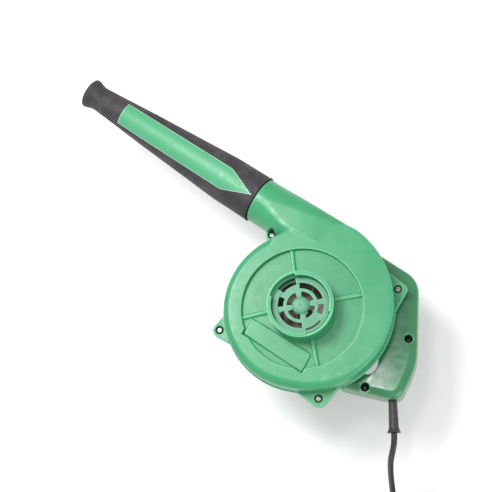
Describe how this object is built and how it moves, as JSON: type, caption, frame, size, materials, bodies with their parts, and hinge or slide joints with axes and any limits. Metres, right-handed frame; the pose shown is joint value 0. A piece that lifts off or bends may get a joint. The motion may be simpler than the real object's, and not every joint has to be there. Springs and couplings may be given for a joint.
{
  "type": "leaf blower",
  "caption": "Hand-held electric blower: snail-shell fan case with guarded side inlet, motor housing, D handle with trigger, long tapered nozzle and supply cord.",
  "frame": {"origin": "centre of the motor housing's closed end, on the fan axis", "axes": "+Z along the fan axis towards the air inlet, +X towards the nozzle tip, +Y towards the tool's underside in use; it lies on the motor housing's end"},
  "size_m": [0.69, 0.2691, 0.172],
  "materials": {
    "green_shell": "moulded satin-gloss green plastic",
    "nozzle_rubber": "matt charcoal moulded rubber",
    "label_film": "printed film, plain green",
    "black_plastic": "moulded black plastic",
    "cord_rubber": "black PVC and rubber",
    "screw_steel": "zinc-plated steel",
    "shaft_steel": "ground steel",
    "plated_pins": "nickel-plated",
    "cast_aluminium": "cast, dull",
    "laminations": "stacked electrical steel",
    "copper": "enamelled copper wire and copper bars",
    "brass": "pressed brass",
    "carbon": "carbon block",
    "cream_plastic": "cream film capacitor case"
  },
  "bodies": {
    "body": {"brush_cap_left": "black_plastic", "brush_cap_right": "black_plastic", "brush_holder_left": "brass", "brush_holder_right": "brass", "brush_left": "carbon", "brush_right": "carbon", "brush_spring_left": "shaft_steel", "brush_spring_right": "shaft_steel", "capacitor": "cream_plastic", "case_screw_1": "screw_steel", "case_screw_2": "screw_steel", "case_screw_3": "screw_steel", "case_screw_4": "screw_steel", "cord_armor": "cord_rubber", "cord_coil": "cord_rubber", "cord_tie": "black_plastic", "field_coil_lower": "copper", "field_coil_upper": "copper", "flange_screw_1": "screw_steel", "flange_screw_2": "screw_steel", "flange_screw_3": "screw_steel", "flange_screw_4": "screw_steel", "front_bearing_outer_race": "shaft_steel", "front_case": "green_shell", "handle_cover": "green_shell", "handle_screw_1": "screw_steel", "handle_screw_2": "screw_steel", "inlet_guard": "green_shell", "motor_housing": "green_shell", "plug_body": "black_plastic", "plug_pin_left": "plated_pins", "plug_pin_right": "plated_pins", "power_cord": "cord_rubber", "rear_bearing_outer_race": "shaft_steel", "rear_case": "green_shell", "stator_core": "laminations", "stator_screw_left": "screw_steel", "stator_screw_right": "screw_steel", "switch_body": "black_plastic"},
    "rotor": {"motor_shaft": "shaft_steel", "armature_core": "laminations", "armature_winding_front": "copper", "armature_winding_rear": "copper", "commutator": "copper", "cooling_fan": "black_plastic", "impeller": "cast_aluminium", "impeller_washer": "screw_steel", "impeller_nut": "screw_steel", "front_bearing_inner_race": "shaft_steel", "rear_bearing_inner_race": "shaft_steel"},
    "trigger": {"trigger": "black_plastic"},
    "lock_button": {"lock_button": "black_plastic"},
    "nozzle": {"nozzle": "nozzle_rubber", "nozzle_label": "label_film"}
  },
  "joints": [
    {"name": "fan_spin", "type": "hinge", "parent": "body", "child": "rotor", "pos_m": [0, 0, 0.1], "axis": [0, 0, 1], "continuous": true},
    {"name": "trigger_pull", "type": "slide", "parent": "body", "child": "trigger", "axis": [-0.8969, -0.4422, 0], "range_m": [0, 0.006], "stiffness_N_per_m": 300, "springref_m": -0.004},
    {"name": "lock_press", "type": "slide", "parent": "body", "child": "lock_button", "axis": [0, 0, 1], "range_m": [0, 0.0025], "stiffness_N_per_m": 400, "springref_m": -0.002},
    {"name": "nozzle_pull", "type": "slide", "parent": "body", "child": "nozzle", "axis": [1, 0, 0], "range_m": [0, 0.022]}
  ]
}
